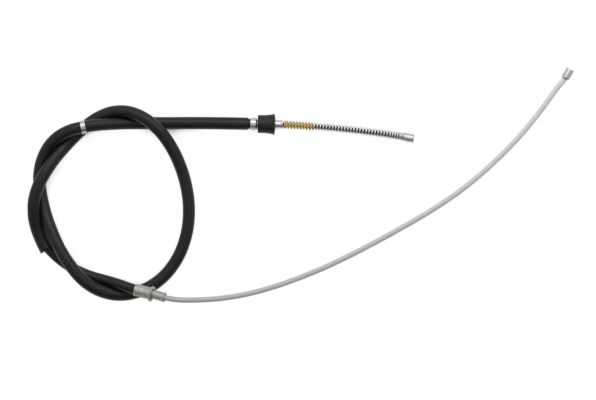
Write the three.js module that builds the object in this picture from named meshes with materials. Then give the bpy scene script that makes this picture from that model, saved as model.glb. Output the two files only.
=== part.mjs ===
// A car's parking brake cable, laid out flat: a black casing in two loose turns, with a wire rope
// running through it from the brake's barrel nipple, past a return spring and a rubber boot, to the
// lever's nipple at the far end of a grey coated stretch. Millimetres, +Z up, lying on z = 0.
import * as THREE from 'three';

// Running clearances
const fitGap = 0.25; // between pieces that sit in or round one another
const endGap = 0.3; // between faces that butt
const turnGap = 0.35; // between one turn of the casing and the turn that it lies on

// Wire rope with its two coats
const wireDiameter = 2.8;
const wireInset = 0.3; // how far the rope's cut ends lie inside the nipples
const darkCoatDiameter = 4.2;
const greyCoatDiameter = 5.1;

// Casing, from the inside out
const linerBore = 3.5;
const linerDiameter = 4.9;
const armourBore = 5.4;
const armourDiameter = 7.4;
const sheathBore = 8.1;
const sheathDiameter = 9.9;
const hoseDiameter = 11.3;
const hoseLength = 793.6;
const hoseSetback = 2.4; // from the front ferrule's mouth
const casingLength = 890; // what shows between the two ferrules

// Barrel nipples
const nippleDiameter = 8;
const frontNippleLength = 10.5;
const rearNippleLength = 10;
const nippleChamfer = 0.5;

// Return spring
const springDiameter = 8;
const springWire = 1.5;
const springLength = 114.8;
const openPitch = 2.9;
const tightPitch = 2.35; // towards the nipple
const closedPitch = 1.75; // at both seats
const tightTurns = 4;
const closedTurns = 1.25;

// Front ferrule, with its crimped cup and the tube that the boot sits on
const cupMouthDiameter = 11.4;
const cupDiameter = 12.2; // where the crimped cup swells most
const cupDepth = 5.2; // how far the casing goes in
const cupLength = 6.4;
const taperLength = 2.2;
const noseDiameter = 7.8;
const noseRimDiameter = 8.3;
const noseRimLength = 1.5;
const noseBore = 5;
const frontFerruleLength = 30.5;
const edgeRound = 0.25;

// Rubber boot
const bootStart = 7; // from the cup's mouth
const bootLength = 16.6;
const bootNeckDiameter = 17;
const bootNeckLength = 6.8;
const bootLipDiameter = 20;
const bootLipLength = 2.4;
const bootDome = 0.9;
const bootRecessDiameter = 13.4;
const bootRecessDepth = 2.4;

// Locating band on the hose
const ringDistance = 159; // from the front ferrule's mouth
const ringLength = 4.5;
const ringWall = 0.5;

// Rear ferrule: crimp sleeve, flange and socket, and the guide tube that stands in the socket
const sleeveDiameter = 11.6;
const sleeveLength = 15.7;
const sleeveCrimpDepth = 0.25;
const sleeveDepth = 12; // how far the casing goes in
const flangeDiameter = 14.8;
const flangeLength = 1.8;
const shoulderBore = 6;
const socketDiameter = 10;
const socketDepth = 3;
const guideDiameter = 8.6;
const guideBore = 7;
const guideReach = 12.8; // beyond the flange
const guideRimDiameter = 9.4;
const guideRimLength = 1.6;
const guideMouthBore = 5.8;
const guideRise = 8.2; // how far its mouth points up over the lower turn

// Facets
const roundSides = 20;
const casingSides = 10;
const innerSides = 8;
const coilSteps = 9; // in each turn of the spring
const coilSides = 5;
const straightStep = 32; // longest step of a tube where the casing runs straight
const bendStep = 19.5; // and where it bends
const freeStep = 25; // and along the bare ends
const straightLength = 90; // how far the casing runs straight from the front ferrule

// Route of the cable's axis. Each point is x, y and a share of the way from the lower of two
// heights to the upper one.
const nippleHeight = nippleDiameter / 2;
const bootHeight = bootLipDiameter / 2;
const hoseHeight = hoseDiameter / 2;
const overHeight = hoseHeight + hoseDiameter + turnGap;
const greyHeight = greyCoatDiameter / 2;
const guideHeight = overHeight + guideRise;

const springRun = [
  [109.8, 58.1, 0], [99.6, 60, 0], [81.5, 62.8, 0.09], [60.6, 65.4, 0.32], [39.8, 67.6, 0.57],
  [18, 69.5, 0.8], [0, 70.7, 0.94], [-13.2, 71.4, 1], [-29.3, 71.6, 1],
];
const straightRun = [
  [-45.4, 72, 1], [-68.1, 72.5, 0.78], [-92.7, 72.8, 0.45], [-117.3, 72.8, 0.14], [-140.1, 72.8, 0],
];
const turns = [
  [-159.7, 72.7, 0.16], [-175.5, 71.9, 0.64], [-189.3, 70.7, 0.99], [-202.2, 68.7, 1.07],
  [-215.2, 65.3, 0.97], [-227.1, 58.9, 0.7], [-236.3, 49.4, 0.38], [-242.6, 36.7, 0.12],
  [-245.2, 22, 0.01], [-243.7, 7.7, 0.02], [-239.5, -10.4, 0.23], [-232.6, -28.7, 0.67],
  [-224.2, -46.4, 0.97], [-213.7, -62.5, 1.05], [-202, -76, 0.91], [-187.8, -85.4, 0.56],
  [-172, -89.6, 0.18], [-155.8, -88.2, 0], [-139.6, -81.7, 0.01], [-124.7, -69.8, 0.01],
  [-112.7, -52.3, 0.01], [-105.4, -31.2, 0.01], [-103.3, -9.4, 0.02], [-105.4, 11, 0.06],
  [-111, 31.2, 0.27], [-119.6, 50, 0.65], [-130.8, 65.4, 0.98], [-144.3, 76.6, 0.99],
  [-159.6, 83, 0.69], [-176.1, 83, 0.29], [-192.1, 76.5, 0.03], [-206.1, 65.3, 0.01],
  [-218.1, 53.1, 0.11], [-228.3, 40.8, 0.52], [-236.8, 28, 0.9], [-243.9, 14.8, 1.03],
  [-248.2, 1.6, 0.98], [-249.5, -12.1, 0.73], [-247.1, -26.7, 0.32], [-240.8, -39.7, 0.05],
  [-232.1, -50.5, 0], [-221.6, -59.4, 0], [-209.4, -66.6, 0.01], [-195.8, -72.1, 0.07],
  [-181.3, -75.9, 0.34], [-167.9, -79.7, 0.71], [-155.2, -83.9, 1.03], [-139.5, -87.7, 1.38],
];
const greyRun = [
  [-125.3, -91.4, 1.02], [-118.1, -92.8, 1.1], [-106, -93.8, 1.13], [-91.1, -93.6, 1.01],
  [-71.6, -92.4, 0.75], [-50.1, -89.2, 0.44], [-26.5, -83.3, 0.18], [-0.9, -74.6, 0.03],
  [25.6, -63.8, 0], [54.1, -50.1, 0], [82.5, -35.1, 0], [111, -19.1, 0], [137.6, -2.7, 0],
  [163.2, 15.9, 0], [186.9, 36.7, 0], [210.6, 60.9, 0], [231.5, 86.5, 0.01],
  [245.6, 106, 0.04], [253.1, 115.1, 0.063], [258.2, 123.6, 0.063],
];

function lay(points, low, high) {
  return points.map(([x, y, share]) => new THREE.Vector3(x, y, THREE.MathUtils.lerp(low, high, share)));
}

const route = new THREE.CatmullRomCurve3([
  ...lay(springRun, nippleHeight, bootHeight),
  ...lay(straightRun, hoseHeight, bootHeight),
  ...lay(turns, hoseHeight, overHeight),
  ...lay(greyRun, greyHeight, guideHeight),
]);
route.arcLengthDivisions = 3000;
const routeLength = route.getLength();

// Distances along the route, from the front nipple's outer face
const springFrom = frontNippleLength;
const noseAt = springFrom + springLength;
const cupMouth = noseAt + frontFerruleLength;
const casingFrom = cupMouth - cupDepth;
const straightTo = cupMouth + straightLength;
const ringFrom = cupMouth + ringDistance - ringLength / 2;
const sleeveMouth = cupMouth + casingLength;
const casingTo = sleeveMouth + sleeveDepth;
const flangeAt = sleeveMouth + sleeveLength + flangeLength;
const guideMouth = flangeAt + guideReach;
const rearNippleFrom = routeLength - rearNippleLength;
const leadIn = 1.5; // straight run that each rigid fitting has beyond its mouth

function divide(from, to, longest) {
  const count = Math.ceil((to - from) / longest);
  return Array.from({ length: count }, (_, i) => from + ((to - from) * i) / count);
}

// Every tube bends at these distances only, so that what lies inside another never cuts it.
const stations = [
  ...divide(0, springFrom, freeStep),
  ...divide(springFrom, noseAt, freeStep),
  ...divide(noseAt, cupMouth + leadIn, frontFerruleLength * 2),
  ...divide(cupMouth + leadIn, straightTo, straightStep),
  ...divide(straightTo, ringFrom - leadIn, bendStep),
  ringFrom - leadIn,
  ...divide(ringFrom + ringLength + leadIn, sleeveMouth - leadIn, bendStep),
  ...divide(sleeveMouth - leadIn, flangeAt, sleeveLength * 2),
  ...divide(flangeAt, guideMouth + leadIn, guideReach * 2),
  ...divide(guideMouth + leadIn, rearNippleFrom, freeStep),
  rearNippleFrom,
  routeLength,
];
const stationPoints = stations.map((distance) => route.getPointAt(distance / routeLength));

function chordAt(distance) {
  let index = stations.findIndex((station) => station > distance) - 1;
  if (index < 0) index = stations.length - 2;
  return index;
}

function pointAt(distance) {
  const i = chordAt(distance);
  const share = (distance - stations[i]) / (stations[i + 1] - stations[i]);
  return new THREE.Vector3().lerpVectors(stationPoints[i], stationPoints[i + 1], share);
}

function chordHeading(index) {
  return new THREE.Vector3().subVectors(stationPoints[index + 1], stationPoints[index]).normalize();
}

// Heading along a chord, and at a station the mean of the two chords that meet there
function headingAt(distance) {
  const i = chordAt(distance);
  const heading = chordHeading(i);
  if (i > 0 && Math.abs(distance - stations[i]) < 1e-6) heading.add(chordHeading(i - 1)).normalize();
  return heading;
}

// A curve whose sections all stand upright, so that the tubes' facets line up with each other
class UprightCurve extends THREE.Curve {
  getPointAt(u, target) {
    return this.getPoint(u, target);
  }

  computeFrenetFrames(steps) {
    const frames = { tangents: [], normals: [], binormals: [] };
    for (let i = 0; i <= steps; i++) {
      const { tangent, sideways } = this.frameAt(i / steps);
      frames.tangents.push(tangent);
      frames.normals.push(sideways);
      frames.binormals.push(new THREE.Vector3().crossVectors(tangent, sideways));
    }
    return frames;
  }
}

// The part of the cable's axis between two distances, with the stations that lie in it
class Stretch extends UprightCurve {
  constructor(from, to) {
    super();
    const margin = 0.01;
    const inside = stations.filter((station) => station > from + margin && station < to - margin);
    this.places = [from, ...inside, to];
    this.steps = this.places.length - 1;
  }

  distanceAt(u) {
    const place = u * this.steps;
    const index = Math.min(Math.floor(place + 1e-9), this.steps - 1);
    return THREE.MathUtils.lerp(this.places[index], this.places[index + 1], place - index);
  }

  getPoint(u, target = new THREE.Vector3()) {
    return target.copy(pointAt(this.distanceAt(u)));
  }

  frameAt(u) {
    const tangent = headingAt(this.distanceAt(u));
    const sideways = new THREE.Vector3(-tangent.y, tangent.x, 0).normalize();
    return { tangent, sideways };
  }
}

// The return spring's wire: closed turns at both seats, tighter ones towards the nipple
class SpringCoil extends UprightCurve {
  constructor(from, to) {
    super();
    const seatTravel = closedTurns * closedPitch;
    const tightTravel = tightTurns * tightPitch;
    const openTravel = to - from - springWire - 2 * seatTravel - tightTravel;
    this.sections = [
      { turns: closedTurns, travel: seatTravel },
      { turns: tightTurns, travel: tightTravel },
      { turns: openTravel / openPitch, travel: openTravel },
      { turns: closedTurns, travel: seatTravel },
    ];
    this.start = from + springWire / 2;
    this.turns = this.sections.reduce((sum, section) => sum + section.turns, 0);
    this.steps = Math.ceil(this.turns * coilSteps);
    this.meanRadius = (springDiameter - springWire) / 2;
  }

  distanceAt(turn) {
    let left = turn;
    let distance = this.start;
    for (const section of this.sections) {
      const used = Math.min(left, section.turns);
      distance += (section.travel * used) / section.turns;
      left -= used;
    }
    return distance;
  }

  place(turn) {
    const distance = this.distanceAt(turn);
    const axis = headingAt(distance);
    const sideways = new THREE.Vector3(-axis.y, axis.x, 0).normalize();
    const upwards = new THREE.Vector3().crossVectors(axis, sideways);
    const angle = -2 * Math.PI * turn; // a left-hand spring
    const outwards = sideways.multiplyScalar(Math.cos(angle)).addScaledVector(upwards, Math.sin(angle));
    return { outwards, point: pointAt(distance).addScaledVector(outwards, this.meanRadius) };
  }

  getPoint(u, target = new THREE.Vector3()) {
    return target.copy(this.place(u * this.turns).point);
  }

  frameAt(u) {
    const turn = u * this.turns;
    const nearby = 0.02;
    const before = this.place(Math.max(turn - nearby, 0)).point;
    const after = this.place(Math.min(turn + nearby, this.turns)).point;
    const tangent = after.sub(before).normalize();
    const { outwards } = this.place(turn);
    outwards.addScaledVector(tangent, -outwards.dot(tangent)).normalize();
    return { tangent, sideways: outwards };
  }
}

function polygon(Kind, diameter, sides) {
  const corners = [];
  for (let i = 0; i < sides; i++) {
    const angle = Math.PI / 2 + (2 * Math.PI * i) / sides;
    corners.push(new THREE.Vector2(Math.cos(angle), Math.sin(angle)).multiplyScalar(diameter / 2));
  }
  return new Kind(corners);
}

// A round section swept along a curve, hollow where it has a bore
function sweep(curve, diameter, bore, sides) {
  const section = polygon(THREE.Shape, diameter, sides);
  if (bore > 0) section.holes.push(polygon(THREE.Path, bore, sides));
  return new THREE.ExtrudeGeometry(section, { steps: curve.steps, bevelEnabled: false, extrudePath: curve });
}

// A closed profile of radius and height pairs turned round +Z
function turned(profile) {
  const points = profile.map(([radius, height]) => new THREE.Vector2(radius, height));
  points.push(points[0].clone());
  return new THREE.LatheGeometry(points, roundSides).rotateX(Math.PI / 2);
}

const finish = {
  zinc: { color: 0xc9c8c2, roughness: 0.38, metalness: 0.85 },
  dullZinc: { color: 0xaeaba3, roughness: 0.5, metalness: 0.8 },
  springSteel: { color: 0xd2d1cc, roughness: 0.3, metalness: 0.9 },
  rope: { color: 0x8d8c88, roughness: 0.45, metalness: 0.9 },
  armour: { color: 0x77777a, roughness: 0.5, metalness: 0.9 },
  rubber: { color: 0x1c1c1b, roughness: 0.65, metalness: 0 },
  sheath: { color: 0x201f1e, roughness: 0.45, metalness: 0 },
  hose: { color: 0x242321, roughness: 0.5, metalness: 0 },
  liner: { color: 0xe6e3da, roughness: 0.5, metalness: 0 },
  darkCoat: { color: 0x1a1918, roughness: 0.5, metalness: 0 },
  greyCoat: { color: 0xaaacaa, roughness: 0.42, metalness: 0 },
};

const cable = new THREE.Group();

function add(name, geometry, look) {
  const mesh = new THREE.Mesh(geometry, new THREE.MeshStandardMaterial(look));
  mesh.name = name;
  cable.add(mesh);
  return mesh;
}

// Turned pieces are made about their own +Z and set on the cable's axis, facing from one distance
// towards another.
function addFitting(name, profile, look, from, towards) {
  const mesh = add(name, turned(profile), look);
  const start = pointAt(from);
  const direction = pointAt(towards).sub(start).normalize();
  mesh.position.copy(start);
  mesh.quaternion.setFromUnitVectors(new THREE.Vector3(0, 0, 1), direction);
  return mesh;
}

function nippleProfile(length) {
  const radius = nippleDiameter / 2;
  const bore = wireDiameter / 2 + fitGap;
  return [
    [bore, 0], [radius - nippleChamfer, 0], [radius, nippleChamfer],
    [radius, length - nippleChamfer], [radius - nippleChamfer, length], [bore, length],
  ];
}

function frontFerruleProfile() {
  const mouth = cupMouthDiameter / 2;
  const swell = cupDiameter / 2;
  const nose = noseDiameter / 2;
  const rim = noseRimDiameter / 2;
  const cupBore = sheathDiameter / 2 + fitGap;
  const rimFrom = frontFerruleLength - noseRimLength;
  return [
    [cupBore, 0], [mouth, 0], [THREE.MathUtils.lerp(mouth, swell, 0.75), cupLength * 0.2],
    [swell, cupLength * 0.42], [THREE.MathUtils.lerp(swell, mouth, 0.5), cupLength * 0.72],
    [THREE.MathUtils.lerp(mouth, nose, 0.2), cupLength], [nose, cupLength + taperLength],
    [nose, rimFrom], [rim, rimFrom + edgeRound], [rim, frontFerruleLength - edgeRound],
    [rim - edgeRound, frontFerruleLength], [noseBore / 2, frontFerruleLength],
    [noseBore / 2, cupDepth + endGap], [cupBore, cupDepth + endGap],
  ];
}

function bootProfile() {
  const bore = noseDiameter / 2 + fitGap;
  const neck = bootNeckDiameter / 2;
  const lip = bootLipDiameter / 2;
  const lipFrom = bootLength - bootDome - bootLipLength;
  const flare = lipFrom - bootNeckLength;
  return [
    [bore, bootRecessDepth], [bootRecessDiameter / 2 - 1, bootRecessDepth], [bootRecessDiameter / 2, 0],
    [neck - 0.5, 0], [neck, 0.6], [neck, bootNeckLength],
    [THREE.MathUtils.lerp(neck, lip, 0.3), bootNeckLength + flare * 0.5],
    [lip - 0.2, lipFrom], [lip, lipFrom + 0.4], [lip, lipFrom + bootLipLength],
    [(lip + bore) / 2, bootLength - bootDome * 0.2], [bore, bootLength],
  ];
}

function ringProfile() {
  const bore = hoseDiameter / 2 + fitGap;
  const outer = bore + ringWall;
  return [[bore, 0], [outer, 0], [outer, ringLength], [bore, ringLength]];
}

function rearFerruleProfile() {
  const bore = sheathDiameter / 2 + fitGap;
  const outer = sleeveDiameter / 2;
  const flange = flangeDiameter / 2;
  const crimpFrom = sleeveLength * 0.2;
  const crimpTo = sleeveLength * 0.62;
  const length = sleeveLength + flangeLength;
  return [
    [bore, 0], [outer, 0], [outer, crimpFrom], [outer - sleeveCrimpDepth, crimpFrom + sleeveCrimpDepth],
    [outer - sleeveCrimpDepth, crimpTo - sleeveCrimpDepth], [outer, crimpTo], [outer, sleeveLength],
    [flange, sleeveLength], [flange, length], [socketDiameter / 2, length],
    [socketDiameter / 2, length - socketDepth], [shoulderBore / 2, length - socketDepth],
    [shoulderBore / 2, sleeveDepth + endGap], [bore, sleeveDepth + endGap],
  ];
}

function guideProfile() {
  const outer = guideDiameter / 2;
  const rim = guideRimDiameter / 2;
  const foot = socketDepth - 2 * endGap;
  const length = foot + guideReach;
  const rimFrom = length - guideRimLength;
  return [
    [guideBore / 2, 0], [outer, 0], [outer, rimFrom], [rim, rimFrom + guideRimLength * 0.3],
    [rim, length - guideRimLength * 0.3], [outer, length], [guideMouthBore / 2, length],
    [guideMouthBore / 2, rimFrom], [guideBore / 2, rimFrom - guideRimLength * 0.5],
  ];
}

// Wheel end
addFitting('front_nipple', nippleProfile(frontNippleLength), finish.zinc, 0, springFrom);
const coil = new SpringCoil(springFrom + endGap, noseAt - endGap);
add('return_spring', sweep(coil, springWire, 0, coilSides), finish.springSteel);
const darkCoatStretch = new Stretch(springFrom + endGap, casingFrom - 2 * endGap);
const coatBore = wireDiameter + 2 * fitGap;
add('front_wire_coat', sweep(darkCoatStretch, darkCoatDiameter, coatBore, casingSides), finish.darkCoat);
addFitting('front_ferrule', frontFerruleProfile(), finish.zinc, cupMouth, noseAt);
addFitting('front_boot', bootProfile(), finish.rubber, cupMouth - bootStart, noseAt);

// Casing
const hoseFrom = cupMouth + hoseSetback;
const hose = new Stretch(hoseFrom, hoseFrom + hoseLength);
add('protective_hose', sweep(hose, hoseDiameter, sheathDiameter + 2 * fitGap, casingSides), finish.hose);
addFitting('locating_ring', ringProfile(), finish.zinc, ringFrom, ringFrom + ringLength);
const casing = new Stretch(casingFrom, casingTo);
add('casing_sheath', sweep(casing, sheathDiameter, sheathBore, casingSides), finish.sheath);
add('casing_armour', sweep(casing, armourDiameter, armourBore, innerSides), finish.armour);
add('casing_liner', sweep(casing, linerDiameter, linerBore, innerSides), finish.liner);

// Wire rope from nipple to nipple
const rope = new Stretch(wireInset, routeLength - wireInset);
add('wire_rope', sweep(rope, wireDiameter, 0, innerSides), finish.rope);

// Lever end
addFitting('rear_ferrule', rearFerruleProfile(), finish.dullZinc, sleeveMouth, flangeAt);
const guideFoot = socketDepth - 2 * endGap;
const guide = addFitting('rear_guide_tube', guideProfile(), finish.dullZinc, flangeAt, guideMouth);
guide.translateZ(-guideFoot);
const greyCoat = new Stretch(casingTo + 2 * endGap, rearNippleFrom - 2 * endGap);
add('rear_wire_coat', sweep(greyCoat, greyCoatDiameter, coatBore, casingSides), finish.greyCoat);
addFitting('rear_nipple', nippleProfile(rearNippleLength), finish.zinc, rearNippleFrom, routeLength);

// The origin is the middle of the floor under the whole cable.
const box = new THREE.Box3().setFromObject(cable, true);
const middle = box.getCenter(new THREE.Vector3());
cable.position.set(-middle.x, -middle.y, -box.min.z);
cable.updateMatrixWorld(true);

export default cable;
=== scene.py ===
# %% [markdown]
# # A parking brake cable, laid flat and seen from straight above
#
# The object is a flexible control cable. A wire rope slides in a black casing, which lies in two
# loose turns. At the wheel end the rope wears a return spring and a barrel nipple, and at the
# lever end it runs out of the casing in a pale grey coat, to a second nipple. Every piece but the
# spring is round, so almost everything here is one idea: a profile of distances and radii, swept
# along one bent axis.

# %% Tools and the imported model
import math

import bpy
import numpy as np
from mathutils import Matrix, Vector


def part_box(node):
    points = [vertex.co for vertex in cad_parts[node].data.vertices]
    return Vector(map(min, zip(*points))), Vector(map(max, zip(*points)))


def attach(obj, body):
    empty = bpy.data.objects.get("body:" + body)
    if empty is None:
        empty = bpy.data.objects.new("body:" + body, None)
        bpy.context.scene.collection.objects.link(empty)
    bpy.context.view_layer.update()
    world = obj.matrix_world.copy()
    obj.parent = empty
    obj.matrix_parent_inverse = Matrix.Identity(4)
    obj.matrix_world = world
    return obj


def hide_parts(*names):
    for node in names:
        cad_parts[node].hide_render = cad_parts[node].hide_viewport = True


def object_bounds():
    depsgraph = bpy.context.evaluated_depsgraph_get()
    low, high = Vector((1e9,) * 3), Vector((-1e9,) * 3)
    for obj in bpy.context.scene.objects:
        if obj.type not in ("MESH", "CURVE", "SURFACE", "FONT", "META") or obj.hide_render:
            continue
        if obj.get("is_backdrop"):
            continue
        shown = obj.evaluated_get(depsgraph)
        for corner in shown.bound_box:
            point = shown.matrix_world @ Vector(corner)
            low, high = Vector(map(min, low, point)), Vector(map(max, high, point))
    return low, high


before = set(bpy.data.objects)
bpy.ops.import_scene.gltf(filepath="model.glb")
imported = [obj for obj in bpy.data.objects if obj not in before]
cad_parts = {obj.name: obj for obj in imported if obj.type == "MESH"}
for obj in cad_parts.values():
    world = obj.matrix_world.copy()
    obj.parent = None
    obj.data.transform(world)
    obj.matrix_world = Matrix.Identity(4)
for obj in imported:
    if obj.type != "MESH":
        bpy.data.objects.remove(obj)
cad_low, cad_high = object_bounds()
cad_size = [round(1000 * v) for v in cad_high - cad_low]
print("packed model:", len(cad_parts), "pieces,", cad_size, "mm")

# %% [markdown]
# ## Camera
#
# The photograph looks straight down from far off, so the cable shows almost no perspective. The
# camera stands two metres above the floor, and its focal length follows from the width of floor
# that the picture takes in. Blender's sensor is 36 mm wide.

# %% Camera
CAMERA_HEIGHT = 2.0
FLOOR_SEEN = 0.5662
SENSOR = 36.0

camera_data = bpy.data.cameras.new("bench_camera")
camera_data.sensor_width = SENSOR
camera_data.lens = SENSOR * CAMERA_HEIGHT / FLOOR_SEEN
camera = bpy.data.objects.new("bench_camera", camera_data)
bpy.context.scene.collection.objects.link(camera)
bpy.context.scene.camera = camera
print("focal length", round(camera_data.lens, 1), "mm")

# %% [markdown]
# ## The cable's axis
#
# A laid cable is one smooth curve. These are the same points that the solid model uses, in
# metres. The third number is a share of the way from a low to a high height, because a cable rests
# either on the floor or on the turn beneath it, and the shares stay right when a diameter changes.
# Only the grey run's crest is about half a millimetre lower here, so that its smooth bend stays in
# the solid model's box.

# %% Sizes and route
NIPPLE = 0.008
LIP = 0.0202
HOSE = 0.0113
SHEATH = 0.0099
SHEATH_BORE = 0.0081
ARMOUR = 0.0074
ARMOUR_BORE = 0.0054
LINER = 0.0049
LINER_BORE = 0.0035
GREY = 0.0051
DARK = 0.0042
ROPE = 0.0028
FIT = 0.00025
TURN_GAP = 0.00035

LOW = HOSE / 2
HIGH = LOW + HOSE + TURN_GAP
GUIDE_HEIGHT = HIGH + 0.0082

SPRING_RUN = [
    (0.1098, 0.0581, 0), (0.0996, 0.06, 0), (0.0815, 0.0628, 0.09), (0.0606, 0.0654, 0.32),
    (0.0398, 0.0676, 0.57), (0.018, 0.0695, 0.8), (0, 0.0707, 0.94), (-0.0132, 0.0714, 1),
    (-0.0293, 0.0716, 1),
]
STRAIGHT_RUN = [
    (-0.0454, 0.072, 1), (-0.0681, 0.0725, 0.78), (-0.0927, 0.0728, 0.45), (-0.1173, 0.0728, 0.14),
    (-0.1401, 0.0728, 0),
]
TURNS = [
    (-0.1597, 0.0727, 0.16), (-0.1755, 0.0719, 0.64), (-0.1893, 0.0707, 0.99),
    (-0.2022, 0.0687, 1.07), (-0.2152, 0.0653, 0.97), (-0.2271, 0.0589, 0.7),
    (-0.2363, 0.0494, 0.38), (-0.2426, 0.0367, 0.12), (-0.2452, 0.022, 0.01),
    (-0.2437, 0.0077, 0.02), (-0.2395, -0.0104, 0.23), (-0.2326, -0.0287, 0.67),
    (-0.2242, -0.0464, 0.97), (-0.2137, -0.0625, 1.05), (-0.202, -0.076, 0.91),
    (-0.1878, -0.0854, 0.56), (-0.172, -0.0896, 0.18), (-0.1558, -0.0882, 0),
    (-0.1396, -0.0817, 0.01), (-0.1247, -0.0698, 0.01), (-0.1127, -0.0523, 0.01),
    (-0.1054, -0.0312, 0.01), (-0.1033, -0.0094, 0.02), (-0.1054, 0.011, 0.06),
    (-0.111, 0.0312, 0.27), (-0.1196, 0.05, 0.65), (-0.1308, 0.0654, 0.98), (-0.1443, 0.0766, 0.99),
    (-0.1596, 0.083, 0.69), (-0.1761, 0.083, 0.29), (-0.1921, 0.0765, 0.03),
    (-0.2061, 0.0653, 0.01), (-0.2181, 0.0531, 0.11), (-0.2283, 0.0408, 0.52),
    (-0.2368, 0.028, 0.9), (-0.2439, 0.0148, 1.03), (-0.2482, 0.0016, 0.98),
    (-0.2495, -0.0121, 0.73), (-0.2471, -0.0267, 0.32), (-0.2408, -0.0397, 0.05),
    (-0.2321, -0.0505, 0), (-0.2216, -0.0594, 0), (-0.2094, -0.0666, 0.01),
    (-0.1958, -0.0721, 0.07), (-0.1813, -0.0759, 0.34), (-0.1679, -0.0797, 0.71),
    (-0.1552, -0.0839, 1.03), (-0.1395, -0.0877, 1.38),
]
GREY_RUN = [
    (-0.1253, -0.0914, 1.02), (-0.1181, -0.0928, 1.08), (-0.106, -0.0938, 1.1),
    (-0.0911, -0.0936, 1.01), (-0.0716, -0.0924, 0.75), (-0.0501, -0.0892, 0.44),
    (-0.0265, -0.0833, 0.18), (-0.0009, -0.0746, 0.03), (0.0256, -0.0638, 0), (0.0541, -0.0501, 0),
    (0.0825, -0.0351, 0), (0.111, -0.0191, 0), (0.1376, -0.0027, 0), (0.1632, 0.0159, 0),
    (0.1869, 0.0367, 0), (0.2106, 0.0609, 0), (0.2315, 0.0865, 0.01), (0.2456, 0.106, 0.04),
    (0.2531, 0.1151, 0.063), (0.2582, 0.1236, 0.063),
]


def lay(points, low, high):
    return [(x, y, low + share * (high - low)) for x, y, share in points]


ROUTE = np.array(
    lay(SPRING_RUN, NIPPLE / 2, LIP / 2)
    + lay(STRAIGHT_RUN, LOW, LIP / 2)
    + lay(TURNS, LOW, HIGH)
    + lay(GREY_RUN, GREY / 2, GUIDE_HEIGHT)
)

# %% [markdown]
# ## One smooth line through the points
#
# A centripetal Catmull-Rom curve passes through every point and never loops between close ones.
# It is the same curve that the solid model is swept along. The line is sampled finely, so that
# any place on the cable can be named by its distance from the front nipple's end face.

# %% Smooth line
SAMPLES = 60


def catmull_rom(points, samples):
    """Points of a centripetal Catmull-Rom curve, with the ends run on in a straight line."""
    whole = np.vstack([2 * points[0] - points[1], points, 2 * points[-1] - points[-2]])
    out = []
    for i in range(1, len(whole) - 2):
        a, b, c, d = whole[i - 1 : i + 3]
        pairs = ((a, b), (b, c), (c, d))
        before, here, after = (math.sqrt(np.linalg.norm(q - p)) for p, q in pairs)
        leave = ((b - a) / before - (c - a) / (before + here) + (c - b) / here) * here
        arrive = ((c - b) / here - (d - b) / (here + after) + (d - c) / after) * here
        t = np.linspace(0, 1, samples, endpoint=False)[:, None]
        bend = -3 * b + 3 * c - 2 * leave - arrive
        twist = 2 * b - 2 * c + leave + arrive
        out.append(b + leave * t + bend * t**2 + twist * t**3)
    return np.vstack([*out, points[-1:]])


line = catmull_rom(ROUTE, SAMPLES)
travel = np.r_[0, np.cumsum(np.linalg.norm(np.diff(line, axis=0), axis=1))]
CABLE_LENGTH = float(travel[-1])
print("cable", round(CABLE_LENGTH, 4), "m from end to end")

# %% [markdown]
# ## Where each piece begins and ends
#
# The pieces follow each other along the line, so one running sum gives all their places. A rigid
# fitting can't bend with the cable: inside each of these stretches the axis is made straight.

# %% Places along the cable
FRONT_NIPPLE_LENGTH = 0.0105
REAR_NIPPLE_LENGTH = 0.010
SPRING_LENGTH = 0.1148
FRONT_FERRULE_LENGTH = 0.0305
CUP_DEPTH = 0.0052
CASING_LENGTH = 0.890
HOSE_START = 0.0024
HOSE_LENGTH = 0.7936
RING_AT = 0.159
RING_LENGTH = 0.0045
SLEEVE_LENGTH = 0.0157
SLEEVE_DEPTH = 0.012
FLANGE_LENGTH = 0.0018
GUIDE_REACH = 0.0128
LEAD_IN = 0.0015

spring_from = FRONT_NIPPLE_LENGTH
nose = spring_from + SPRING_LENGTH
cup_mouth = nose + FRONT_FERRULE_LENGTH
casing_from = cup_mouth - CUP_DEPTH
hose_from = cup_mouth + HOSE_START
hose_to = hose_from + HOSE_LENGTH
ring_from = cup_mouth + RING_AT - RING_LENGTH / 2
sleeve_mouth = cup_mouth + CASING_LENGTH
casing_to = sleeve_mouth + SLEEVE_DEPTH
flange_face = sleeve_mouth + SLEEVE_LENGTH + FLANGE_LENGTH
guide_mouth = flange_face + GUIDE_REACH
rear_nipple_from = CABLE_LENGTH - REAR_NIPPLE_LENGTH

STRAIGHTS = [
    (0, spring_from),
    (nose, cup_mouth + LEAD_IN),
    (ring_from - LEAD_IN, ring_from + RING_LENGTH + LEAD_IN),
    (sleeve_mouth - LEAD_IN, flange_face),
    (flange_face, guide_mouth + LEAD_IN),
    (rear_nipple_from, CABLE_LENGTH),
]


def on_line(distance):
    return np.stack([np.interp(distance, travel, line[:, k]) for k in range(3)], axis=-1)


def bench_axis(distance):
    """Points of the cable's axis at these distances, straight through the rigid fittings."""
    distance = np.atleast_1d(np.asarray(distance, float))
    points = on_line(distance)
    for start, end in STRAIGHTS:
        inside = (distance > start) & (distance < end)
        share = ((distance[inside] - start) / (end - start))[:, None]
        points[inside] = on_line(start) * (1 - share) + on_line(end) * share
    return points


# The solid model's origin is set from its box, so the front nipple says how far the bench moved.
nipple_low, nipple_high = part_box("front_nipple")
SHIFT = np.array((nipple_low + nipple_high) / 2) - bench_axis(FRONT_NIPPLE_LENGTH / 2)[0]
camera.location = (SHIFT[0], SHIFT[1], CAMERA_HEIGHT)
print("bench moved by", [round(1000 * v, 2) for v in SHIFT], "mm")


def axis(distance):
    return bench_axis(distance) + SHIFT


HEADING_REACH = 0.0006


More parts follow.
